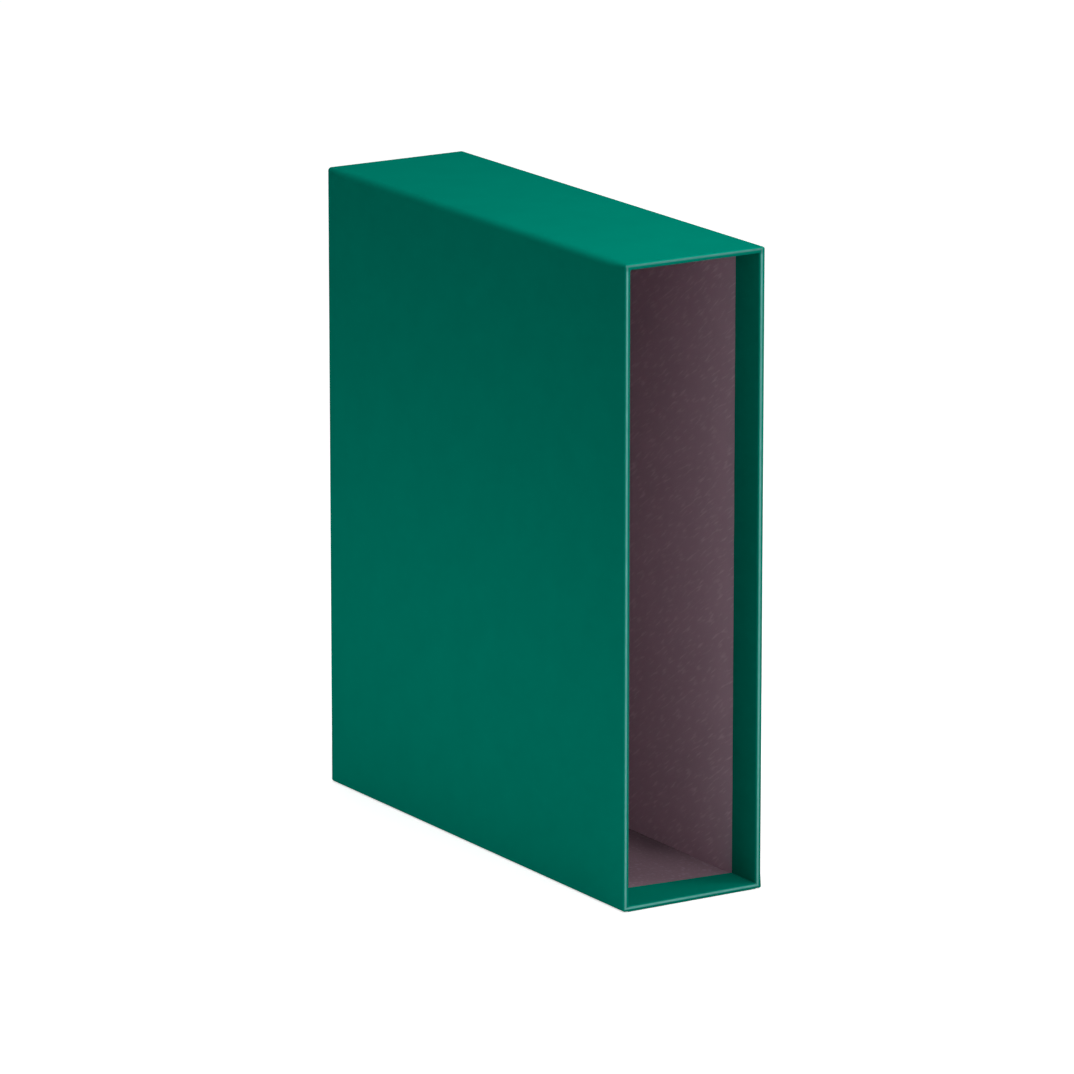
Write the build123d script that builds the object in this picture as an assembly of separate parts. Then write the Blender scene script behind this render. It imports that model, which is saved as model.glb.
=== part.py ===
from build123d import *

import os

# Slipcase for one A4 lever arch file: greyboard walls covered in green paper, open at a narrow side.
# Millimetres. +Z is up, -Y points out of the mouth, the origin is the middle of the resting face.

# Outer size of the covered case.
CASE_WIDTH = 82.0
CASE_DEPTH = 286.0
CASE_HEIGHT = 330.0

# Thickness of the materials.
BOARD = 2.5
PAPER = 0.3
TAPE = 0.2

# Radii of the board: inside the crease, and on the cut edges that the paper is wrapped round.
CREASE_INSIDE = 1.1
EDGE_ROUND = 0.9

# How far the paper and the tape reach round the edges.
SIDE_TURN_IN = 22.0
BOTTOM_TURN_IN = 28.0
BOTTOM_LAP = 16.0
BACK_TURN_OVER = 15.0
STAY_LEG = 10.0

# Where paper or tape stops short: of the faces beside it, of the mouth, and of the next flap.
SHEET_INSET = 1.5
MOUTH_TRIM = 2.5
STAY_SETBACK = 5.0
CUT_GAP = 0.4

# An inset is a distance inwards from the outer faces of the covered case. The wrap leaves one sheet
# outside it, below and at the back, so its faces there lie one thickness further in.
BOARD_FACE = PAPER
BOARD_BACK = BOARD_FACE + BOARD
LINED_FACE = BOARD_BACK + PAPER
UNDER_WRAP = 2 * PAPER
PAPER_EDGE_ROUND = EDGE_ROUND + PAPER
PAPER_BEND = BOARD_BACK + CREASE_INSIDE
BACK_FOLD = PAPER + PAPER_EDGE_ROUND


def side(inset):
    """X of the right face."""
    return CASE_WIDTH / 2 - inset


def mouth(inset):
    """Y of the mouth."""
    return inset - CASE_DEPTH / 2


def back(inset):
    """Y of the back."""
    return CASE_DEPTH / 2 - inset


def top(inset):
    """Z of the top. The bottom's Z is its inset."""
    return CASE_HEIGHT - inset


def across(inset):
    """X range between the left and the right face."""
    return (-side(inset), side(inset))


def block(x_range, y_range, z_range):
    """A box between pairs of coordinates."""
    ranges = (x_range, y_range, z_range)
    middle = [(low + high) / 2 for low, high in ranges]
    size = [high - low for low, high in ranges]
    return Pos(*middle) * Box(*size)


def both_sides(insets, y_range, z_range):
    """A box between two insets of the right side, and its mirror image on the left."""
    right = block((side(insets[1]), side(insets[0])), y_range, z_range)
    return right + mirror(right, Plane.YZ)


def creased_prism(inset, bottom, y_range, corner):
    """A bar along Y with the case's section: the crease's bend top left, a corner radius elsewhere."""
    section = Rectangle(2 * side(inset), top(inset) - bottom)
    if corner > 0:
        section = fillet(from_top_left(section)[1:], corner)
    section = fillet(from_top_left(section)[0], PAPER_BEND - inset)
    start = Plane.XZ.offset(-y_range[1]) * Pos(0, (top(inset) + bottom) / 2)
    return extrude(start * section, y_range[1] - y_range[0])


def from_top_left(section):
    """Corners of a section, the top left one first."""
    return section.vertices().sort_by(lambda corner: corner.X - corner.Y)


def wrapped_block(inset):
    """The closed outside of the wrapped case at an inset, every edge rounded."""
    y_range = (mouth(inset), back(PAPER + inset))
    body = creased_prism(inset, PAPER + inset, y_range, PAPER_EDGE_ROUND - inset)
    ends = body.faces().sort_by(Axis.Y)
    return fillet(ends[0].edges() + ends[-1].edges(), PAPER_EDGE_ROUND - inset)


def bore(inset):
    """The hollow between the walls at an inset, up to the back board."""
    return creased_prism(inset, inset, (mouth(-BOARD), back(BOARD_BACK)), 0)


def walls(outer, inner):
    """The five walls in one, between two insets, rounded at the mouth on both sides."""
    body = wrapped_block(outer) - bore(inner)
    mouth_face = body.faces().sort_by(Axis.Y)[0]
    return fillet(mouth_face.inner_wires()[0].edges(), PAPER_EDGE_ROUND - outer)


def floor_slab(inset, half_width, upper):
    """A slab along the bottom, rounded over the mouth and under the back, like the bottom board."""
    slab = block((-half_width, half_width), (mouth(inset), back(PAPER + inset)), (inset, upper))
    edges = slab.edges().filter_by(Axis.X).sort_by(lambda edge: edge.center().Y + edge.center().Z)
    return fillet(edges[:-1], PAPER_EDGE_ROUND - inset)


def laps():
    """The wrap's two edges, folded under the bottom and pressed flush into the board."""
    y_range = (mouth(MOUTH_TRIM), back(BACK_FOLD))
    return both_sides((PAPER_EDGE_ROUND, BOTTOM_LAP), y_range, (PAPER, UNDER_WRAP))


def wrap_sheet():
    """Covering paper over the left side, the top and the right side."""
    paper = walls(0, LINED_FACE) - walls(BOARD_FACE, BOARD_BACK)
    whole_depth = (mouth(0), back(0))
    beyond_turn_in = (mouth(SIDE_TURN_IN), back(BOARD_BACK))
    paper -= block(across(BOARD_BACK), beyond_turn_in, (BOARD_BACK, top(BOARD_BACK)))
    paper -= block(across(LINED_FACE), whole_depth, (UNDER_WRAP, LINED_FACE))
    paper -= block(across(BOARD_BACK), whole_depth, (0, UNDER_WRAP))
    paper += laps()
    paper -= block(across(BACK_TURN_OVER), (back(UNDER_WRAP), back(0)), (0, top(BACK_TURN_OVER)))
    paper -= block(across(SHEET_INSET), (back(BACK_FOLD), back(0)), (0, BACK_TURN_OVER + CUT_GAP))
    for direction in (-1, 1):
        paper -= turn_in_slit(direction)
        paper -= mitre_slit(direction)
    return paper


def turn_in_slit(direction):
    """The cut that frees the top turn-in from the side one, beside the inner corner."""
    at = side(LINED_FACE + CREASE_INSIDE + CUT_GAP / 2)
    slit = Box(CUT_GAP, SIDE_TURN_IN - MOUTH_TRIM, PAPER)
    return Pos(direction * at, mouth((SIDE_TURN_IN + MOUTH_TRIM) / 2), top(LINED_FACE - PAPER / 2)) * slit


def mitre_slit(direction):
    """The diagonal cut between the turn-overs at an upper corner of the back."""
    diagonal = (BACK_TURN_OVER + CUT_GAP) * 2**0.5
    slit = Rot(0, direction * 45, 0) * Box(CUT_GAP, PAPER, 2 * diagonal)
    return Pos(direction * side(0), back(UNDER_WRAP - PAPER / 2), top(0)) * slit


def bottom_sheet():
    """Covering paper under the bottom, deeply turned in at the mouth and turned up at the back."""
    sheet = floor_slab(0, side(SHEET_INSET), LINED_FACE) - floor_slab(PAPER, side(0), BOARD_BACK)
    sheet -= block(across(0), (mouth(BOTTOM_TURN_IN), back(UNDER_WRAP)), (BOARD_BACK, LINED_FACE))
    sheet -= both_sides((0, LINED_FACE), (mouth(0), mouth(MOUTH_TRIM)), (0, LINED_FACE))
    sheet -= both_sides((0, LINED_FACE), (mouth(0), back(BACK_FOLD)), (PAPER, LINED_FACE))
    turn_up = (BACK_FOLD, BACK_TURN_OVER)
    return sheet + block(across(SHEET_INSET), (back(UNDER_WRAP), back(PAPER)), turn_up)


def back_sheet():
    """Covering paper over the back, on top of the turned-over edges."""
    return block(across(SHEET_INSET), (back(PAPER), back(0)), (SHEET_INSET, top(SHEET_INSET)))


def stays():
    """Seven strips of tape round the butted edges, by name, cut from one layer all round the boards."""
    layer = wrapped_block(BOARD_FACE) - wrapped_block(BOARD_FACE + TAPE)
    reach = BOARD_FACE + STAY_LEG
    right = (side(reach), side(0))
    left = (-side(0), -side(reach))
    upper = (top(reach), top(0))
    lower = (0, PAPER + reach)
    rear = (back(PAPER + reach), back(0))
    lengthwise = (mouth(STAY_SETBACK), back(PAPER + reach + CUT_GAP))
    upright = (UNDER_WRAP + EDGE_ROUND, top(PAPER_BEND))
    return {
        "stay_top_right": layer & block(right, lengthwise, upper),
        "stay_bottom_left": layer & block(left, lengthwise, lower),
        "stay_bottom_right": layer & block(right, lengthwise, lower),
        "stay_back_left": layer & block(left, rear, upright),
        "stay_back_right": layer & block(right, rear, upright),
        "stay_back_top": layer & block(across(reach + CUT_GAP), rear, upper),
        "stay_back_bottom": back_bottom_stay(),
    }


def back_bottom_stay():
    """The stay between the laps, where the bottom board lies one sheet lower."""
    half_width = side(BOTTOM_LAP + CUT_GAP)
    reach = BOARD_FACE + STAY_LEG
    outside = floor_slab(BOARD_FACE, half_width, reach)
    inside = floor_slab(BOARD_FACE + TAPE, half_width, reach)
    ahead = block(across(0), (mouth(0), back(PAPER + reach)), (0, reach))
    return outside - inside - ahead


def right_region():
    """The right side board's place: beside the bore and below the top board."""
    return block((side(BOARD_BACK), side(0)), (mouth(0), back(0)), (0, top(BOARD_BACK)))


def between_sides():
    """All that lies between the side boards and below the top board."""
    return creased_prism(BOARD_BACK, -BOARD, (mouth(-BOARD), back(-BOARD)), 0)


def side_top_board():
    """Greyboard left side and top, one piece with a soft crease between them."""
    return walls(BOARD_FACE, BOARD_BACK) - right_region() - between_sides()


def right_side_board():
    """Greyboard right side, butted under the top."""
    return walls(BOARD_FACE, BOARD_BACK) & right_region()


def bottom_board(wrap):
    """Greyboard bottom, between the sides, pressed in where the wrap laps under it."""
    return floor_slab(BOARD_FACE, side(BOARD_BACK), BOARD_BACK) - wrap


def back_board():
    """Greyboard back, inside the other four, thinned where the turned-over paper lies on it."""
    board = creased_prism(BOARD_BACK, BOARD_BACK, (back(BOARD_BACK), back(UNDER_WRAP)), 0)
    raised = (back(UNDER_WRAP), back(PAPER))
    return board + block(across(BACK_TURN_OVER), raised, (BACK_TURN_OVER, top(BACK_TURN_OVER)))


def pieces():
    """Every piece of the slipcase by name, the boards pressed in under the tape."""
    tapes = stays()
    sheets = {
        "wrap_sheet": wrap_sheet(),
        "bottom_sheet": bottom_sheet(),
        "back_sheet": back_sheet(),
    }
    boards = {
        "side_top_board": side_top_board(),
        "right_side_board": right_side_board(),
        "bottom_board": bottom_board(sheets["wrap_sheet"]),
        "back_board": back_board(),
    }
    for name in boards:
        for tape in tapes.values():
            boards[name] -= tape
    return boards | tapes | sheets


os.makedirs("parts", exist_ok=True)
for name, piece in pieces().items():
    export_step(piece, f"parts/{name}.step")
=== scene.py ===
import math

import bmesh
import bpy
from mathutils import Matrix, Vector, noise


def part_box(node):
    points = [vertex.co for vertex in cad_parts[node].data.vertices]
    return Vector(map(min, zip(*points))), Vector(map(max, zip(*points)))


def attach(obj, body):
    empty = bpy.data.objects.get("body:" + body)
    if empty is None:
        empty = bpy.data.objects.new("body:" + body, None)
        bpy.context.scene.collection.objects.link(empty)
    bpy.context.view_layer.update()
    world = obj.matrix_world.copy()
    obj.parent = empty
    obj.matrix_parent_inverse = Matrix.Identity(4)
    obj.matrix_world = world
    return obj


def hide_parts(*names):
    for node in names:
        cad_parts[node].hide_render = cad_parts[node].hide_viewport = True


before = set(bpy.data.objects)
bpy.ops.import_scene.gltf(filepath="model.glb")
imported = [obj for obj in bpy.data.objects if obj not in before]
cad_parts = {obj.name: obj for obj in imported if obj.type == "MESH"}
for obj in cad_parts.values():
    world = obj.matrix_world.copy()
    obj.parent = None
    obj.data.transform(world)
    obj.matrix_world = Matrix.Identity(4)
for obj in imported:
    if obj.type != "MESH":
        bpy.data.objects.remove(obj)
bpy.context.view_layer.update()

bl_info = {
    "name": "Binder Slipcase",
    "version": (1, 0, 0),
    "blender": (4, 5, 0),
    "location": "View3D > Sidebar > Slipcase",
    "description": "Covers a greyboard slipcase with green paper and sets it in a plain studio",
    "category": "Object",
}

# The covered case in metres, as the CAD parts in model.glb give it. An inset is a distance inwards from
# its outer faces. The wrap leaves one sheet outside it at the back and below.
WRAP_LOW, WRAP_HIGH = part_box("wrap_sheet")
RIGHT_BOARD_LOW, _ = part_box("right_side_board")
BACK_SHEET_LOW, BACK_SHEET_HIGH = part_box("back_sheet")
_, BOTTOM_SHEET_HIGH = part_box("bottom_sheet")

HALF_WIDTH = WRAP_HIGH.x
TOP = WRAP_HIGH.z
MOUTH = WRAP_LOW.y
WRAPPED_BACK = WRAP_HIGH.y
PAPER = BACK_SHEET_HIGH.y - BACK_SHEET_LOW.y
BOARD_BACK = HALF_WIDTH - RIGHT_BOARD_LOW.x
LINED_FACE = BOARD_BACK + PAPER

# Radii of the paper: over a board's cut edge, over the crease between the left side and the top, and
# inside that crease. BACK_FOLD is the Y at which the wrap starts to fold over the back.
FOLD = 0.0012
CREASE_INSIDE = 0.0011
CREASE = BOARD_BACK + CREASE_INSIDE
BACK_FOLD = WRAPPED_BACK - FOLD

WALL_BOARDS = ("side_top_board", "right_side_board", "back_board")
STAYS = (
    "stay_top_right",
    "stay_bottom_left",
    "stay_bottom_right",
    "stay_back_left",
    "stay_back_right",
    "stay_back_top",
    "stay_back_bottom",
)

# Cells on each fold, the width of the narrow cell that keeps the flat beside a fold flat, the least
# radius or gap in the mesh, and the bend beyond which an edge looks sharp.
FOLD_CELLS = 6
CREASE_CELLS = 12
SHOULDER = 0.0004
TIGHTEST = 0.00005
SHARP = math.radians(40.0)

# Lengths over which a cut edge strays to and fro, over which the bottom's cut edge in the mouth does,
# and over which the paper swells; and the border of a face where the swelling dies away.
CUT_PATCH = 0.02
BOTTOM_CUT_PATCH = 0.015
SWELL_PATCH = 0.06
SWELL_BORDER = 0.02

# The bulge at the lower right corner of the mouth: which way it stands out, and how far it reaches.
BULGE_WAY = Vector((0.8, -0.6, 0.0))
BULGE_REACH = 0.005

# The painted highlight, a pale line round the rim: how far it lies off the rim's middle, to the left
# and upwards; up to which distance from that line it is full, and where it is gone; the same for the
# depth in the mouth; and the length over which it is uneven.
RIM_LINE_SHIFT = 0.0006
RIM_LINE_FULL = 0.0002
RIM_LINE_GONE = 0.0007
RIM_DEPTH_FULL = 0.0006
RIM_DEPTH_GONE = 0.0010
RIM_LINE_PATCH = 0.007

# Heights between which the painted highlight gets duller towards the top wall, and its tone there.
DULLER_ABOVE = TOP - 0.004
DULLEST_ABOVE = TOP - LINED_FACE + 0.0005
DULLEST_TONE = 0.55

# Depth in the mouth up to which the painted light by the rim is full, where it ends, and its tone.
PAINTED_RIM_LIGHT_FULL = 0.0002
PAINTED_RIM_LIGHT_END = 0.0018
PAINTED_RIM_LIGHT_TONE = 1.2

# Size of the paper's tooth, and how much rougher or smoother than the rest a patch of its film is.
PAPER_TOOTH = 0.0008
UNEVEN_GLOSS = 0.05

# The board's fibres: their slant, their size over X, Y and Z before they are slanted, and the levels
# of their pattern at which one starts to show and shows fully.
FIBRE_SLANT = math.radians(34.0)
FIBRE_SIZE = (0.0020, 0.0080, 0.0013)
FIBRE_STARTS = 0.56
FIBRE_FULL = 0.74

# How far the painted shade reaches from the side walls, and how far in from the mouth it is full;
# it starts at half that depth.
CORNER_SHADE_REACH = 0.030
CORNER_SHADE_DEPTH = 0.090

# The floor's disc.
FLOOR_RADIUS = 9.0
FLOOR_SEGMENTS = 96

# Each lamp's kind, place, the point that it faces, and its shape. Its strength is the value of the
# same name in StudioLook.
LAMPS = {
    "overhead": ("SUN", (0.0, 0.25, 2.0), (0.0, 0.0, 0.2), {"angle": math.radians(36)}),
    "high_panel": ("AREA", (-0.1, -1.8, 1.5), (0.0, -0.14, 0.16), {"shape": "DISK", "size": 1.6}),
    "right_lamp": ("AREA", (0.5, -0.45, 1.5), (0.0, -0.1, 0.0), {"shape": "DISK", "size": 0.2}),
    "mouth_top": ("AREA", (0.0, -0.3, 0.72), (0.0, -0.14, 0.1), {"shape": "DISK", "size": 0.25}),
    "low_lamp": ("AREA", (-0.14, -0.5, 0.04), (0.03, -0.04, 0.04), {"shape": "DISK", "size": 0.1}),
    "reflector": (
        "AREA",
        (-0.36, 0.07, 0.06),
        (0.0, 0.07, 0.06),
        {"shape": "RECTANGLE", "size": 0.55, "size_y": 0.1},
    ),
}

# The camera's place, the degrees that it looks down and to the right, its lens in millimetres and how
# far it sees.
CAMERA_PLACE = (-2.1100, -3.3597, 1.1496)
CAMERA_DOWN = 14.04
CAMERA_RIGHT = 32.10
CAMERA_LENS = 268.5
CAMERA_SIGHT = 100.0

# Sockets of a colour mix by number, because its sockets for other kinds of value share their names.
MIX_FACTOR = 0
MIX_FIRST = 6
MIX_SECOND = 7
MIX_RESULT = 2

WHITE = (1.0, 1.0, 1.0, 1.0)
PAPER_FINISH = "film_laminated_printed_paper"


def linear(hex_colour):
    """Scene-linear red, green and blue of an sRGB hex colour."""
    channels = [int(hex_colour[i : i + 2], 16) / 255 for i in (1, 3, 5)]
    return tuple(c / 12.92 if c <= 0.04045 else ((c + 0.055) / 1.055) ** 2.4 for c in channels)


def length(name, description, default):
    """A length property in metres."""
    return bpy.props.FloatProperty(
        name=name, description=description, default=default, unit="LENGTH", precision=5
    )


def colour(name, description, default):
    """A colour property, its default written as sRGB hex."""
    return bpy.props.FloatVectorProperty(
        name=name,
        description=description,
        default=linear(default),
        subtype="COLOR",
        size=3,
        min=0.0,
        max=1.0,
    )


def share(name, description, default):
    """A property from 0 to 1."""
    return bpy.props.FloatProperty(
        name=name, description=description, default=default, min=0.0, max=1.0, subtype="FACTOR"
    )


def power(name, description, default):
    """A lamp's power in watts."""
    return bpy.props.FloatProperty(
        name=name, description=description, default=default, min=0.0, subtype="POWER"
    )


class SlipcaseSizes(bpy.types.PropertyGroup):
    """Sizes of the covering sheets."""

    side_turn_in: length("Side turn-in", "Depth of the wrap inside the mouth", 0.022)
    bottom_turn_in: length(
        "Bottom turn-in", "Depth of the bottom sheet inside the mouth, at the left", 0.0295
    )
    bottom_turn_in_right: length(
        "Bottom turn-in, right", "The same depth at the right, cut out of square", 0.0225
    )
    bottom_lap: length("Bottom lap", "Reach of the wrap under the bottom", 0.016)
    back_turn_over: length("Back turn-over", "Reach of the flaps folded over the back", 0.015)
    mouth_trim: length("Mouth trim", "Distance from the mouth at which laps and slits start", 0.0025)
    cut_gap: length("Cut gap", "Width of a cut between two flaps", 0.0004)
    wander: length("Wander", "How far a cut edge strays from its line", 0.00025)
    swell: length("Swell", "How far the paper stands off the board in places", 0.00012)
    corner_bulge: length("Corner bulge", "Thickening of the folded corner low on the right", 0.0007)
    end_crease: length("End crease", "Radius of the creased edge where it is pinched at its ends", 0.0017)
    end_reach: length("End reach", "How far from its ends the creased edge is pinched", 0.014)
    cell: length("Cell", "Size of the mesh's cells on the large faces", 0.008)


class PaperLook(bpy.types.PropertyGroup):
    """Colours and finish of the covering paper, and the colour of the painted highlight on its rim."""

    print_colour: colour("Print", "Green of the printed paper", "#007D6A")
    # Colour of a painted highlight: the pale line round the rim of the mouth.
    highlight_colour: colour(
        "Stretched film", "Tone of the film where it is drawn over the rim", "#7BC7BF"
    )
    roughness: share("Roughness", "Roughness of the film", 0.5)


class BoardLook(bpy.types.PropertyGroup):
    """Colours of the bare board and of the tape, and the painted shade on the bottom."""

    pulp_colour: colour("Pulp", "Grey of the recycled board", "#BD9EAD")
    fibre_colour: colour("Fibre", "Lighter fibres in the board", "#CEB0BE")
    # Painted shade: the bottom's board is a darker copy of the walls' board.
    bottom_shade_tone: share("Bottom tone", "How dark the bottom's sheet of board is beside the others", 0.52)
    # Painted shade: how dark the bottom is painted deep in its corners beside the side walls.
    corner_shade_tone: share("Dust tone", "How dark the bottom gets where dust lies deep in its corners", 0.5)
    kraft_colour: colour("Kraft", "Brown of the gummed tape", "#B0895C")


class StudioLook(bpy.types.PropertyGroup):
    """Floor and light."""

    floor_colour: colour("Floor", "Colour of the floor", "#E4E4E4")
    floor_lift: share("Floor lift", "How much whiter the floor looks to the camera", 0.67)
    overhead: bpy.props.FloatProperty(
        name="Overhead", description="Broad even light from above, in W/m2", default=1.35, min=0.0
    )
    high_panel: power("High panel", "Large softbox high in front of the mouth", 13.2)
    right_lamp: power(
        "Right lamp", "Small softbox high on the right, which lights the bottom inside", 4.15
    )
    mouth_top: power("Above the mouth", "Small softbox above and before the mouth", 0.67)
    low_lamp: power("Low lamp", "Small lamp low in front, which lights the foot of the wall inside", 0.17)
    reflector: power("Reflector", "Low strip of light along the foot of the left face", 0.38)


def add_node(tree, kind, links=None, inputs=None, **settings):
    """Adds a node with its settings, its input values and links to its inputs from other sockets."""
    node = tree.nodes.new(kind)
    for name, value in settings.items():
        setattr(node, name, value)
    for name, value in (inputs or {}).items():
        node.inputs[name].default_value = value
    for name, source in (links or {}).items():
        tree.links.new(source, node.inputs[name])
    return node


def start_material(name):
    """An empty node material; gives it, its tree and the place of a point on the object."""
    material = bpy.data.materials.new(name)
    material.use_nodes = True
    tree = material.node_tree
    tree.nodes.clear()
    place = add_node(tree, "ShaderNodeTexCoord").outputs["Object"]
    return material, tree, place


def add_surface(tree, links, inputs):
    """The shader of a material, with what is linked to it and its constant values."""
    shader = add_node(tree, "ShaderNodeBsdfPrincipled", links, inputs)
    add_node(tree, "ShaderNodeOutputMaterial", {"Surface": shader.outputs["BSDF"]})


def toned(rgb, amount):
    """A colour made lighter or darker by a factor, with alpha."""
    return (*(min(1.0, c * amount) for c in rgb), 1.0)


def clouded(tree, place, rgb, size, darkest, lightest, detail, roughness):
    """A colour that wavers between two tones in soft patches of a size; gives it and the patches."""
    patches = add_node(
        tree,
        "ShaderNodeTexNoise",
        {"Vector": place},
        {"Scale": 1 / size, "Detail": detail, "Roughness": roughness},
    ).outputs["Fac"]
    wavering = add_node(
        tree,
        "ShaderNodeMix",
        {MIX_FACTOR: patches},
        {MIX_FIRST: toned(rgb, darkest), MIX_SECOND: toned(rgb, lightest)},
        data_type="RGBA",
    )
    return wavering.outputs[MIX_RESULT], patches


def passed(tree, place, axis, start, end, course="LINEAR"):
    """How far a point has come along an axis, from 0 at the start to 1 at the end."""
    at = add_node(tree, "ShaderNodeSeparateXYZ", {"Vector": place})
    way = add_node(
        tree,
        "ShaderNodeMapRange",
        {"Value": at.outputs[axis]},
        {"From Min": start, "From Max": end},
        interpolation_type=course,
    )
    return way.outputs["Result"]


def film_laminated_printed_paper(look):
    """Offset-printed paper under a thin matt film: an even deep green without a veil of gloss, with
    painted light that makes it lighter by the rim of the mouth and a painted highlight, a pale line round
    that rim."""
    material, tree, place = start_material(PAPER_FINISH)
    ink, patches = clouded(
        tree,
        place,
        look.print_colour,
        size=0.020,
        darkest=0.93,
        lightest=1.07,
        detail=4.0,
        roughness=0.6,
    )
    # Painted light: the green is lighter on and beside the rim of the mouth.
    by_rim = passed(
        tree, place, "Y", MOUTH + PAINTED_RIM_LIGHT_END, MOUTH + PAINTED_RIM_LIGHT_FULL, course="SMOOTHERSTEP"
    )
    rim_lit = add_node(
        tree,
        "ShaderNodeMix",
        {MIX_FACTOR: by_rim, MIX_FIRST: ink},
        {MIX_SECOND: toned(look.print_colour, PAINTED_RIM_LIGHT_TONE)},
        data_type="RGBA",
    ).outputs[MIX_RESULT]
    # Painted highlight: the pale line round the rim, duller along the top wall.
    highlight_tone = add_node(
        tree,
        "ShaderNodeMix",
        {MIX_FACTOR: passed(tree, place, "Z", DULLER_ABOVE, DULLEST_ABOVE)},
        {
            MIX_FIRST: toned(look.highlight_colour, 1.0),
            MIX_SECOND: toned(look.highlight_colour, DULLEST_TONE),
        },
        data_type="RGBA",
    ).outputs[MIX_RESULT]
    # The painted highlight laid over the green.
    highlighted = add_node(
        tree,
        "ShaderNodeMix",
        {MIX_FACTOR: painted_rim_highlight(tree, place), MIX_FIRST: rim_lit, MIX_SECOND: highlight_tone},
        data_type="RGBA",
    )
    tooth = add_node(
        tree,
        "ShaderNodeTexNoise",
        {"Vector": place},
        {"Scale": 1 / PAPER_TOOTH, "Detail": 3.0, "Roughness": 0.55},
    )
    relief = add_node(
        tree,
        "ShaderNodeBump",
        {"Height": tooth.outputs["Fac"]},
        {"Strength": 0.2, "Distance": 0.00005},
    )
    gloss = add_node(
        tree,
        "ShaderNodeMapRange",
        {"Value": patches},
        {"To Min": look.roughness - UNEVEN_GLOSS, "To Max": look.roughness + UNEVEN_GLOSS},
    )
    add_surface(
        tree,
        {
            "Base Color": highlighted.outputs[MIX_RESULT],
            "Normal": relief.outputs["Normal"],
            "Roughness": gloss.outputs["Result"],
        },
        {"Specular IOR Level": 0.0},
    )
    return material


def off_highlight_line(tree, place):
    """How far a point lies from the painted highlight's line round the rim, as seen straight into the
    mouth.
    """
    half_width = HALF_WIDTH - LINED_FACE / 2
    half_height = (TOP - LINED_FACE) / 2
    centred = add_node(
        tree,
        "ShaderNodeVectorMath",
        {0: place},
        {1: (-RIM_LINE_SHIFT, 0.0, TOP / 2 + RIM_LINE_SHIFT)},
        operation="SUBTRACT",
    )
    mirrored = add_node(
        tree, "ShaderNodeVectorMath", {0: centred.outputs["Vector"]}, operation="ABSOLUTE"
    )
    beyond = add_node(
        tree,
        "ShaderNodeVectorMath",
        {0: mirrored.outputs["Vector"]},
        {1: (half_width, 0.0, half_height)},
        operation="SUBTRACT",
    )
    at = add_node(tree, "ShaderNodeSeparateXYZ", {"Vector": beyond.outputs["Vector"]}).outputs
    furthest = add_node(tree, "ShaderNodeMath", {0: at["X"], 1: at["Z"]}, operation="MAXIMUM")
    distance = add_node(
        tree, "ShaderNodeMath", {0: furthest.outputs["Value"]}, operation="ABSOLUTE"
    )
    return distance.outputs["Value"]


def painted_rim_highlight(tree, place):
    """How much painted highlight a point gets: most along one line round the rim, to the left of its
    middle and above it, and uneven along that line."""
    line = add_node(
        tree,
        "ShaderNodeMapRange",
        {"Value": off_highlight_line(tree, place)},
        {"From Min": RIM_LINE_FULL, "From Max": RIM_LINE_GONE, "To Min": 1.0, "To Max": 0.0},
        interpolation_type="SMOOTHSTEP",
    )
    patches = add_node(
        tree,
        "ShaderNodeTexNoise",
        {"Vector": place},
        {"Scale": 1 / RIM_LINE_PATCH, "Detail": 3.0, "Roughness": 0.6},
    )
    uneven = add_node(
        tree, "ShaderNodeMapRange", {"Value": patches.outputs["Fac"]}, {"To Min": 0.5, "To Max": 1.0}
    )
    whole = add_node(
        tree,
        "ShaderNodeMath",
        {0: line.outputs["Result"], 1: uneven.outputs["Result"]},
        operation="MULTIPLY",
    )
    in_front = passed(tree, place, "Y", MOUTH + RIM_DEPTH_GONE, MOUTH + RIM_DEPTH_FULL)
    at_rim = add_node(
        tree, "ShaderNodeMath", {0: whole.outputs["Value"], 1: in_front}, operation="MULTIPLY"
    )
    return at_rim.outputs["Value"]


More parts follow.
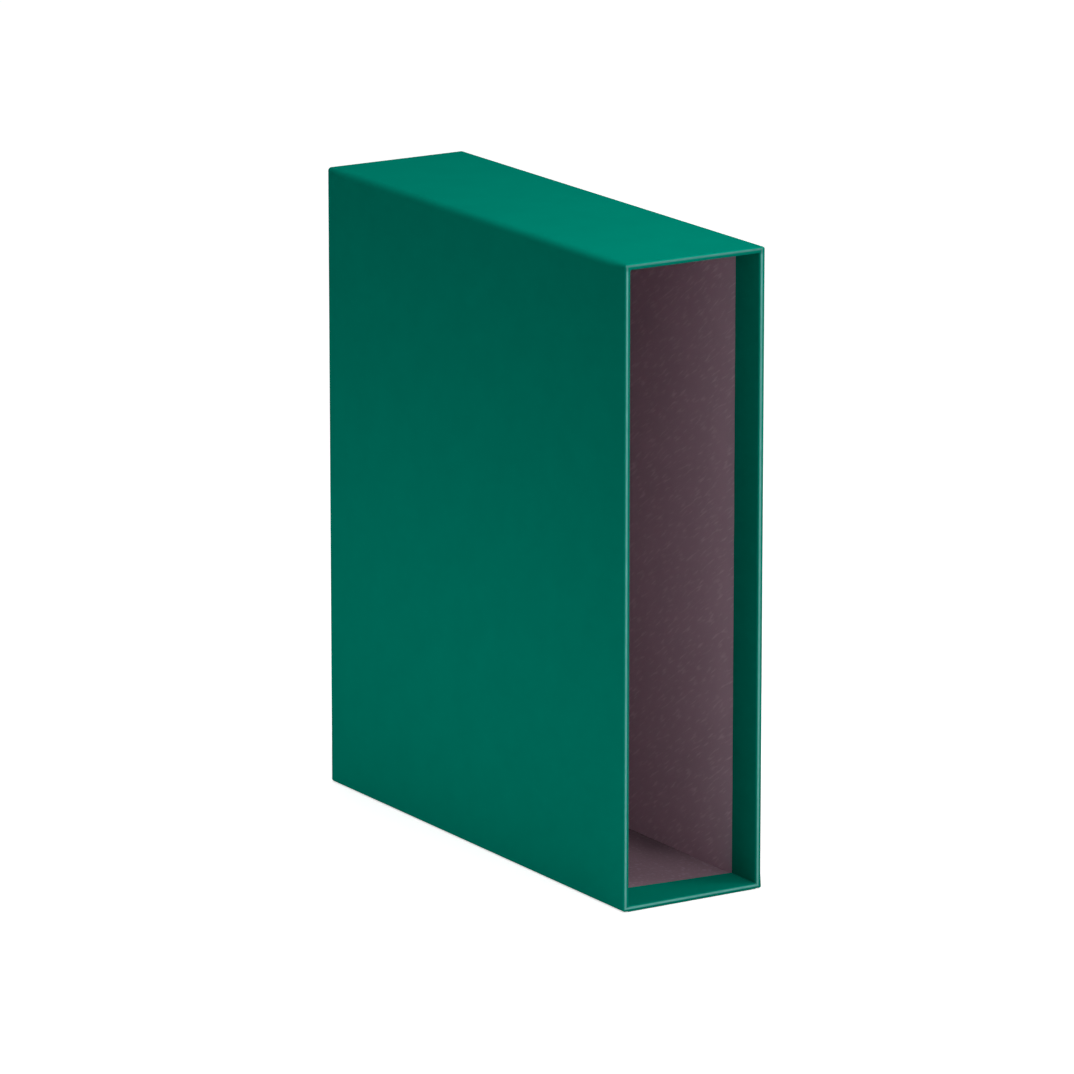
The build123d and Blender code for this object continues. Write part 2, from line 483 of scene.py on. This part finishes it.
def pressed_recycled_greyboard(look, sheet, tone, corner_shade_tone):
    """Millboard pressed from waste-paper pulp: matt mauve grey, faintly mottled, with short raised
    fibres that all lie on the same slant. A tone below 1 paints the whole sheet darker as shade, and
    painted shade darkens it deep in the corners beside the side walls; at a corner shade tone of 1 it has
    none."""
    material, tree, place = start_material(f"pressed_recycled_greyboard_{sheet}")
    slanted = add_node(
        tree, "ShaderNodeMapping", {"Vector": place}, {"Rotation": (FIBRE_SLANT, 0.0, 0.0)}
    )
    drawn_out = add_node(
        tree,
        "ShaderNodeMapping",
        {"Vector": slanted.outputs["Vector"]},
        {"Scale": tuple(1 / size for size in FIBRE_SIZE)},
    )
    fibres = add_node(
        tree,
        "ShaderNodeTexNoise",
        {"Vector": drawn_out.outputs["Vector"]},
        {"Scale": 1.0, "Detail": 1.0, "Roughness": 0.4},
    )
    flecks = add_node(
        tree,
        "ShaderNodeMapRange",
        {"Value": fibres.outputs["Fac"]},
        {"From Min": FIBRE_STARTS, "From Max": FIBRE_FULL, "To Max": 1.0},
    ).outputs["Result"]
    pulp, _ = clouded(
        tree,
        place,
        look.pulp_colour,
        size=0.025,
        darkest=0.93 * tone,
        lightest=1.07 * tone,
        detail=4.0,
        roughness=0.6,
    )
    board = add_node(
        tree,
        "ShaderNodeMix",
        {MIX_FACTOR: flecks, MIX_FIRST: pulp},
        {MIX_SECOND: toned(look.fibre_colour, tone)},
        data_type="RGBA",
    )
    # Painted shade deep in the corners beside the side walls, multiplied into the board's colour.
    corner_shaded = add_node(
        tree,
        "ShaderNodeMix",
        {MIX_FACTOR: painted_corner_shade(tree, place), MIX_FIRST: board.outputs[MIX_RESULT]},
        {MIX_SECOND: (corner_shade_tone, corner_shade_tone, corner_shade_tone, 1.0)},
        data_type="RGBA",
        blend_type="MULTIPLY",
    )
    relief = add_node(
        tree, "ShaderNodeBump", {"Height": flecks}, {"Strength": 0.3, "Distance": 0.0002}
    )
    add_surface(
        tree,
        {"Base Color": corner_shaded.outputs[MIX_RESULT], "Normal": relief.outputs["Normal"]},
        {"Roughness": 0.9, "Specular IOR Level": 0.1},
    )
    return material


def painted_corner_shade(tree, place):
    """How much painted shade a point of the bare inside gets: most beside the side walls and deep in
    from the mouth."""
    wall = HALF_WIDTH - BOARD_BACK
    mirrored = add_node(tree, "ShaderNodeVectorMath", {0: place}, operation="ABSOLUTE")
    beside_wall = passed(
        tree, mirrored.outputs["Vector"], "X", wall - CORNER_SHADE_REACH, wall, course="SMOOTHSTEP"
    )
    deep = passed(
        tree, place, "Y", MOUTH + CORNER_SHADE_DEPTH / 2, MOUTH + CORNER_SHADE_DEPTH, course="SMOOTHSTEP"
    )
    both = add_node(tree, "ShaderNodeMath", {0: beside_wall, 1: deep}, operation="MULTIPLY")
    return both.outputs["Value"]


def gummed_kraft_tape(look):
    """Brown kraft paper wetted and pressed down: matt, with a faint cloudy grain."""
    material, tree, place = start_material("gummed_kraft_tape")
    brown, grain = clouded(
        tree,
        place,
        look.kraft_colour,
        size=0.0015,
        darkest=0.8,
        lightest=1.15,
        detail=5.0,
        roughness=0.65,
    )
    relief = add_node(
        tree, "ShaderNodeBump", {"Height": grain}, {"Strength": 0.2, "Distance": 0.0001}
    )
    add_surface(tree, {"Base Color": brown, "Normal": relief.outputs["Normal"]}, {"Roughness": 0.8})
    return material


def covering_paper(context):
    """The paper's material, made once."""
    made = bpy.data.materials.get(PAPER_FINISH)
    return made or film_laminated_printed_paper(context.scene.slipcase_paper)


def spread(start, end, cells):
    """Even steps from start to end, both included."""
    return [start + (end - start) * i / cells for i in range(cells + 1)]


def flat(start, end, cells):
    """Even steps like spread, with one more narrow step inside each end."""
    shoulder = math.copysign(SHOULDER, end - start)
    return [start, *spread(start + shoulder, end - shoulder, cells), end]


def arc(centre, radius, first, last, cells):
    """Points on an arc about a centre, from one angle to another in degrees."""
    angles = [math.radians(angle) for angle in spread(first, last, cells)]
    return [(centre[0] + radius * math.cos(a), centre[1] + radius * math.sin(a)) for a in angles]


def clamped(value):
    """A value held between 0 and 1."""
    return max(0.0, min(1.0, value))


def stray(point, size, amount):
    """A smooth stray of up to an amount, over patches of a size."""
    return amount * noise.noise(point / size)


def cells_in(distance, sizes):
    """How many of the mesh's cells fit in a distance."""
    return max(1, round(distance / sizes.cell))


def wrap_path(depth, sizes):
    """The wrap's way round at a depth in the paper: pairs of inset and Y from the cut edge in the
    mouth, over the rim, along the case and round the back."""
    trim = MOUTH + sizes.mouth_trim
    turn_in = flat(MOUTH + sizes.side_turn_in, trim, cells_in(sizes.side_turn_in, sizes))
    run = flat(trim, BACK_FOLD, cells_in(BACK_FOLD - trim, sizes))
    flap = spread(FOLD + PAPER, sizes.back_turn_over, cells_in(sizes.back_turn_over, sizes))
    path = [(LINED_FACE - depth, y) for y in turn_in]
    path += arc((LINED_FACE - FOLD, MOUTH + FOLD), FOLD - depth, 0, -90, FOLD_CELLS)
    path += arc((FOLD, MOUTH + FOLD), FOLD - depth, 270, 180, FOLD_CELLS)
    path += [(depth, y) for y in run]
    path += arc((FOLD, BACK_FOLD), FOLD - depth, 180, 90, FOLD_CELLS)[1:]
    return path + [(inset, WRAPPED_BACK - depth) for inset in flap]


def crease_radius(inset, y, sizes):
    """Radius of the creased edge at an inset: wide along the case, pinched at both its ends."""
    from_end = clamped(min(y - MOUTH, WRAPPED_BACK - y) / sizes.end_reach)
    ease = from_end**2 * (3.0 - 2.0 * from_end)
    outer = sizes.end_crease + (CREASE - sizes.end_crease) * ease
    return max(TIGHTEST, outer + (CREASE_INSIDE - outer) * inset / BOARD_BACK)


def wrap_section(inset, y, sizes):
    """The wrap's section at an inset and Y, from the left lap up, over the top and down to the right
    lap: zones, each a name and its points of X and Z. It has the same cells everywhere."""
    side = HALF_WIDTH - inset
    top = TOP - inset
    foot = min(PAPER + inset, LINED_FACE)
    fold = max(FOLD - inset, TIGHTEST)
    crease = crease_radius(inset, y, sizes)
    lap_edge = HALF_WIDTH - sizes.bottom_lap
    root = min(HALF_WIDTH - LINED_FACE, side - fold - TIGHTEST)
    flap_foot = sizes.back_turn_over + sizes.cut_gap
    lap = spread(lap_edge, root, cells_in(sizes.bottom_lap, sizes))
    low = flat(foot + fold, flap_foot, cells_in(flap_foot, sizes))
    left = flat(flap_foot, top - crease, cells_in(TOP, sizes))
    right = flat(flap_foot, top - fold, cells_in(TOP, sizes))
    over = spread(
        crease - side + sizes.cut_gap, side - fold - sizes.cut_gap, cells_in(2 * HALF_WIDTH, sizes)
    )
    return [
        ("lap", [(-x, foot) for x in lap]),
        ("root", [(-root, foot), (fold - side, foot)]),
        ("foot", arc((fold - side, foot + fold), fold, 270, 180, FOLD_CELLS)),
        ("low", [(-side, z) for z in low]),
        ("side", [(-side, z) for z in left]),
        ("corner", arc((crease - side, top - crease), crease, 180, 90, CREASE_CELLS)),
        ("slit", [(crease - side, top), (over[0], top)]),
        ("over", [(x, top) for x in over]),
        ("slit", [(over[-1], top), (side - fold, top)]),
        ("corner", arc((side - fold, top - fold), fold, 90, 0, FOLD_CELLS)),
        ("side", [(side, z) for z in reversed(right)]),
        ("low", [(side, z) for z in reversed(low)]),
        ("foot", arc((side - fold, foot + fold), fold, 360, 270, FOLD_CELLS)),
        ("root", [(side - fold, foot), (root, foot)]),
        ("lap", [(x, foot) for x in reversed(lap)]),
    ]


def joined(zones):
    """The points of a section's zones in one run, each point where two zones meet only once."""
    first_run = zones[0][1]
    return first_run[:1] + [point for _, run in zones for point in run[1:]]


def wrap_is_paper(zone, inset, y, sizes):
    """Whether the wrap has paper in a zone of its section, at a cell's inset and Y."""
    in_mouth = inset > LINED_FACE - PAPER
    behind = y > BACK_FOLD
    turned_over = behind and inset > FOLD + PAPER
    slit_open = in_mouth and y > MOUTH + sizes.mouth_trim
    if zone == "lap":
        return y > MOUTH + sizes.mouth_trim and not in_mouth and not behind
    if zone == "root":
        return not in_mouth and not behind
    if zone == "foot":
        return not in_mouth and not turned_over
    if zone == "slit":
        return not slit_open and not turned_over
    if zone in ("corner", "low"):
        return not turned_over
    return True


def outward(zone, x):
    """The direction that a zone of the wrap faces."""
    if zone == "over":
        return Vector((0.0, 0.0, 1.0))
    return Vector((math.copysign(1.0, x), 0.0, 0.0))


def thicken(name, rows, columns, place, is_paper):
    """A closed shell of paper on a grid. Its outer face is at depth 0, its inner one a sheet deeper;
    place gives a point by row, column and depth, is_paper says which cells the sheet has."""
    shell = bmesh.new()
    points = {}
    cells = [(r, c) for r in range(rows - 1) for c in range(columns - 1) if is_paper(r, c)]
    kept = set(cells)

    def point(row, column, depth):
        key = (row, column, depth)
        if key not in points:
            points[key] = shell.verts.new(place(row, column, depth))
        return points[key]

    for r, c in cells:
        ring = [(r, c), (r, c + 1), (r + 1, c + 1), (r + 1, c)]
        beside = [(r - 1, c), (r, c + 1), (r + 1, c), (r, c - 1)]
        shell.faces.new([point(*at, 0.0) for at in ring])
        shell.faces.new([point(*at, PAPER) for at in reversed(ring)])
        for i, neighbour in enumerate(beside):
            if neighbour not in kept:
                start, end = ring[i], ring[(i + 1) % 4]
                wall = [point(*end, 0.0), point(*start, 0.0), point(*start, PAPER), point(*end, PAPER)]
                shell.faces.new(wall)
    bmesh.ops.recalc_face_normals(shell, faces=shell.faces)
    for face in shell.faces:
        face.smooth = True
    for edge in shell.edges:
        if len(edge.link_faces) != 2:
            raise RuntimeError(f"{name}: the sheet is not closed at {tuple(edge.verts[0].co)}")
        edge.smooth = edge.calc_face_angle() < SHARP
    mesh = bpy.data.meshes.new(name)
    shell.to_mesh(mesh)
    shell.free()
    piece = bpy.data.objects.new(name, mesh)
    bpy.context.scene.collection.objects.link(piece)
    return piece


def fit_piece(piece, node, material):
    """Puts a sheet in the place of its CAD node."""
    piece.data.materials.append(material)
    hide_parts(node)
    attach(piece, "root")


def corner_bulge(point, sizes):
    """How far the folded layers push the paper out at the lower right corner of the mouth."""
    corner = Vector((HALF_WIDTH, MOUTH, PAPER))
    near = max(0.0, 1.0 - (point - corner).length / BULGE_REACH)
    return BULGE_WAY * sizes.corner_bulge * near * near


class SLIPCASE_OT_wrap(bpy.types.Operator):
    """Wraps the left side, the top and the right side in one sheet, turned in at the mouth"""

    bl_idname = "slipcase.wrap"
    bl_label = "Wrap the Sides and Top"

    def execute(self, context):
        sizes = context.scene.slipcase_sizes
        paths = {depth: wrap_path(depth, sizes) for depth in (0.0, PAPER)}
        sections = {}
        for depth, path in paths.items():
            for row, (inset, y) in enumerate(path):
                sections[row, depth] = joined(wrap_section(inset, y, sizes))
        # The zone of each cell round the section, which is the same in every row.
        names = [name for name, run in wrap_section(0.0, 0.0, sizes) for _ in run[1:]]
        rows = len(paths[0.0])
        columns = len(names) + 1

        def place(row, column, depth):
            inset, y = paths[depth][row]
            x, z = sections[row, depth][column]
            at = Vector((x, y, z))
            if row == 0:
                at.y += stray(at, CUT_PATCH, sizes.wander)
            if column in (0, columns - 1):
                at.x += stray(at, CUT_PATCH, sizes.wander)
            # Only the outside of the large faces swells, and not beside their edges.
            zone = names[min(column, columns - 2)]
            if depth == 0.0 and inset == 0.0 and zone in ("side", "over"):
                across = HALF_WIDTH - abs(x) if zone == "over" else min(z, TOP - z)
                border = clamped(min(y - MOUTH, BACK_FOLD - y, across) / SWELL_BORDER)
                rise = max(0.0, stray(at, SWELL_PATCH, sizes.swell)) * border
                at += outward(zone, x) * rise
            return at + corner_bulge(at, sizes)

        def is_paper(row, column):
            (inset, y), (next_inset, next_y) = paths[0.0][row : row + 2]
            return wrap_is_paper(names[column], (inset + next_inset) / 2, (y + next_y) / 2, sizes)

        piece = thicken("side_top_wrap", rows, columns, place, is_paper)
        fit_piece(piece, "wrap_sheet", covering_paper(context))
        return {"FINISHED"}


def bottom_path(depth, sizes):
    """The bottom sheet's way round at a depth in the paper: pairs of Y and Z from the cut edge in the
    mouth, over the rim, along the underside and up the back."""
    trim = MOUTH + sizes.mouth_trim
    turn_in = flat(MOUTH + sizes.bottom_turn_in, MOUTH + FOLD, cells_in(sizes.bottom_turn_in, sizes))
    run = flat(trim, BACK_FOLD, cells_in(BACK_FOLD - trim, sizes))
    turn_up = spread(FOLD, sizes.back_turn_over, cells_in(sizes.back_turn_over, sizes))
    path = [(y, LINED_FACE - depth) for y in turn_in[:-1]]
    path += arc((MOUTH + FOLD, LINED_FACE - FOLD), FOLD - depth, 90, 180, FOLD_CELLS)
    path += arc((MOUTH + FOLD, FOLD), FOLD - depth, 180, 270, FOLD_CELLS)
    path += [(y, depth) for y in run]
    path += arc((BACK_FOLD, FOLD), FOLD - depth, 270, 360, FOLD_CELLS)[1:]
    return path + [(WRAPPED_BACK - depth, z) for z in turn_up[1:]]


def slant(x, y, sizes):
    """How far the bottom turn-in's cut, out of square, brings a point of it towards the mouth."""
    across = (x + HALF_WIDTH) / (2 * HALF_WIDTH)
    inwards = max(0.0, y - MOUTH - FOLD) / (sizes.bottom_turn_in - FOLD)
    return (sizes.bottom_turn_in_right - sizes.bottom_turn_in) * across * inwards


class SLIPCASE_OT_bottom_sheet(bpy.types.Operator):
    """Covers the bottom, with a deep turn-in at the mouth and a narrow one up the back"""

    bl_idname = "slipcase.bottom_sheet"
    bl_label = "Cover the Bottom"

    def execute(self, context):
        sizes = context.scene.slipcase_sizes
        paths = {depth: bottom_path(depth, sizes) for depth in (0.0, PAPER)}
        outer = BOTTOM_SHEET_HIGH.x
        inner = HALF_WIDTH - LINED_FACE
        middle = flat(-inner, inner, cells_in(2 * inner, sizes))
        across = [-outer, *middle, outer]

        def place(row, column, depth):
            y, z = paths[depth][row]
            at = Vector((across[column], y, z))
            # Only the turn-in is cut out of square, so neither the underside nor the turn-up at the back.
            if z > BOARD_BACK - TIGHTEST and y < 0.0:
                at.y += slant(at.x, y, sizes)
            if row == 0:
                at.y += stray(at, BOTTOM_CUT_PATCH, sizes.wander)
            if column in (0, len(across) - 1):
                at.x += stray(at, CUT_PATCH, sizes.wander)
            return at

        def is_paper(row, column):
            (y, z), (next_y, next_z) = paths[0.0][row : row + 2]
            if 0 < column < len(across) - 2:
                return True
            # Beyond the width of the inside, the sheet is only underneath and up the back.
            middle_y = (y + next_y) / 2
            underneath = (z + next_z) / 2 < PAPER and middle_y > MOUTH + sizes.mouth_trim
            return underneath or middle_y > BACK_FOLD

        piece = thicken("bottom_cover", len(paths[0.0]), len(across), place, is_paper)
        fit_piece(piece, "bottom_sheet", covering_paper(context))
        return {"FINISHED"}


class SLIPCASE_OT_back_sheet(bpy.types.Operator):
    """Covers the back over the turned-over edges of the other sheets"""

    bl_idname = "slipcase.back_sheet"
    bl_label = "Cover the Back"

    def execute(self, context):
        sizes = context.scene.slipcase_sizes
        low, high = BACK_SHEET_LOW, BACK_SHEET_HIGH
        across = flat(low.x, high.x, cells_in(high.x - low.x, sizes))
        up = flat(low.z, high.z, cells_in(high.z - low.z, sizes))

        def place(row, column, depth):
            at = Vector((across[column], high.y - depth, up[row]))
            if row in (0, len(up) - 1):
                at.z += stray(at, CUT_PATCH, sizes.wander)
            if column in (0, len(across) - 1):
                at.x += stray(at, CUT_PATCH, sizes.wander)
            return at

        piece = thicken("back_cover", len(up), len(across), place, lambda row, column: True)
        fit_piece(piece, "back_sheet", covering_paper(context))
        return {"FINISHED"}


def dress(nodes, material):
    """Gives CAD nodes their material."""
    for name in nodes:
        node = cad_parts[name]
        if not node.material_slots:
            node.data.materials.append(material)
        for slot in node.material_slots:
            slot.material = material


class SLIPCASE_OT_boards(bpy.types.Operator):
    """Gives the four boards the look of bare greyboard, the bottom a darker copy with painted shade"""

    bl_idname = "slipcase.boards"
    bl_label = "Finish the Boards"

    def execute(self, context):
        look = context.scene.slipcase_board
        walls = pressed_recycled_greyboard(look, "walls", tone=1.0, corner_shade_tone=1.0)
        # The bottom's board is painted darker as shade, with painted shade deep in its corners.
        bottom = pressed_recycled_greyboard(look, "bottom", look.bottom_shade_tone, look.corner_shade_tone)
        dress(WALL_BOARDS, walls)
        dress(["bottom_board"], bottom)
        return {"FINISHED"}


class SLIPCASE_OT_stays(bpy.types.Operator):
    """Gives the strips over the butted edges the look of gummed kraft tape"""

    bl_idname = "slipcase.stays"
    bl_label = "Finish the Stays"

    def execute(self, context):
        dress(STAYS, gummed_kraft_tape(context.scene.slipcase_board))
        return {"FINISHED"}


def seen_directly(tree):
    """1 for what the camera sees, straight, mirrored or through glass, and 0 for what lights things."""
    path = add_node(tree, "ShaderNodeLightPath").outputs
    seen = add_node(
        tree,
        "ShaderNodeMath",
        {0: path["Is Camera Ray"], 1: path["Is Glossy Ray"]},
        operation="MAXIMUM",
    )
    shown = add_node(
        tree,
        "ShaderNodeMath",
        {0: seen.outputs["Value"], 1: path["Is Transmission Ray"]},
        operation="MAXIMUM",
    )
    return shown.outputs["Value"]


def white_emulsion_floor(look):
    """Smooth floor under matt white emulsion paint: even and pale, so that it holds a soft shadow."""
    material, tree, place = start_material("white_emulsion_floor")
    paint, _ = clouded(
        tree,
        place,
        look.floor_colour,
        size=0.3,
        darkest=0.995,
        lightest=1.0,
        detail=2.0,
        roughness=0.5,
    )
    lift = add_node(
        tree, "ShaderNodeMath", {0: seen_directly(tree)}, {1: look.floor_lift}, operation="MULTIPLY"
    )
    add_surface(
        tree,
        {"Base Color": paint, "Emission Strength": lift.outputs["Value"]},
        {"Emission Color": WHITE, "Roughness": 0.9, "Specular IOR Level": 0.0},
    )
    return material


def lay_floor(look):
    """A wide round floor under the case."""
    disc = bmesh.new()
    bmesh.ops.create_circle(disc, cap_ends=True, segments=FLOOR_SEGMENTS, radius=FLOOR_RADIUS)
    mesh = bpy.data.meshes.new("floor")
    disc.to_mesh(mesh)
    disc.free()
    floor = bpy.data.objects.new("floor", mesh)
    floor.data.materials.append(white_emulsion_floor(look))
    bpy.context.scene.collection.objects.link(floor)


def hang_lamp(name, kind, place, aim, shape, strength):
    """A lamp at a place, turned towards a point. It lights the case but doesn't show itself."""
    lamp = bpy.data.lights.new(name, kind)
    lamp.energy = strength
    for key, value in shape.items():
        setattr(lamp, key, value)
    holder = bpy.data.objects.new(name, lamp)
    holder.location = place
    holder.rotation_euler = (Vector(aim) - Vector(place)).to_track_quat("-Z", "Y").to_euler()
    holder.visible_camera = False
    holder.visible_glossy = False
    bpy.context.scene.collection.objects.link(holder)


def white_surround():
    """A world that looks white, also in reflections, and gives no other light."""
    world = bpy.data.worlds.new("studio")
    world.use_nodes = True
    tree = world.node_tree
    tree.nodes.clear()
    sky = add_node(
        tree, "ShaderNodeBackground", {"Strength": seen_directly(tree)}, {"Color": WHITE}
    )
    add_node(tree, "ShaderNodeOutputWorld", {"Surface": sky.outputs["Background"]})
    return world


def place_camera():
    """The camera at the photo's angle: high, in front of the mouth and to its left."""
    lens = bpy.data.cameras.new("camera")
    lens.lens = CAMERA_LENS
    lens.clip_end = CAMERA_SIGHT
    camera = bpy.data.objects.new("camera", lens)
    camera.location = CAMERA_PLACE
    camera.rotation_euler = (math.radians(90 - CAMERA_DOWN), 0.0, math.radians(-CAMERA_RIGHT))
    bpy.context.scene.collection.objects.link(camera)
    bpy.context.scene.camera = camera


class SLIPCASE_OT_studio(bpy.types.Operator):
    """Sets up the floor, the lamps, the white surround and the camera"""

    bl_idname = "slipcase.studio"
    bl_label = "Set Up the Studio"

    def execute(self, context):
        look = context.scene.slipcase_studio
        lay_floor(look)
        for name, lamp in LAMPS.items():
            hang_lamp(name, *lamp, getattr(look, name))
        context.scene.world = white_surround()
        context.scene.view_settings.view_transform = "Standard"
        place_camera()
        return {"FINISHED"}


class SLIPCASE_PT_panel(bpy.types.Panel):
    """Lists the sizes, the looks and the steps of the slipcase"""

    bl_label = "Slipcase"
    bl_idname = "SLIPCASE_PT_panel"
    bl_space_type = "VIEW_3D"
    bl_region_type = "UI"
    bl_category = "Slipcase"

    def draw(self, context):
        for name in SETTINGS:
            box = self.layout.box()
            settings = getattr(context.scene, name)
            for key in settings.__annotations__:
                box.prop(settings, key)
        for operator in OPERATORS:
            self.layout.operator(operator.bl_idname)


SETTINGS = {
    "slipcase_sizes": SlipcaseSizes,
    "slipcase_paper": PaperLook,
    "slipcase_board": BoardLook,
    "slipcase_studio": StudioLook,
}
OPERATORS = (
    SLIPCASE_OT_wrap,
    SLIPCASE_OT_bottom_sheet,
    SLIPCASE_OT_back_sheet,
    SLIPCASE_OT_boards,
    SLIPCASE_OT_stays,
    SLIPCASE_OT_studio,
)
CLASSES = (*SETTINGS.values(), *OPERATORS, SLIPCASE_PT_panel)


def register():
    """Registers the classes and hangs the settings on the scene."""
    for kind in CLASSES:
        bpy.utils.register_class(kind)
    for name, kind in SETTINGS.items():
        setattr(bpy.types.Scene, name, bpy.props.PointerProperty(type=kind))


def unregister():
    """Takes the settings off the scene and unregisters the classes."""
    for name in SETTINGS:
        delattr(bpy.types.Scene, name)
    for kind in reversed(CLASSES):
        bpy.utils.unregister_class(kind)


def main():
    register()
    bpy.ops.slipcase.wrap()
    bpy.ops.slipcase.bottom_sheet()
    bpy.ops.slipcase.back_sheet()
    bpy.ops.slipcase.boards()
    bpy.ops.slipcase.stays()
    bpy.ops.slipcase.studio()


if __name__ == "__main__":
    main()
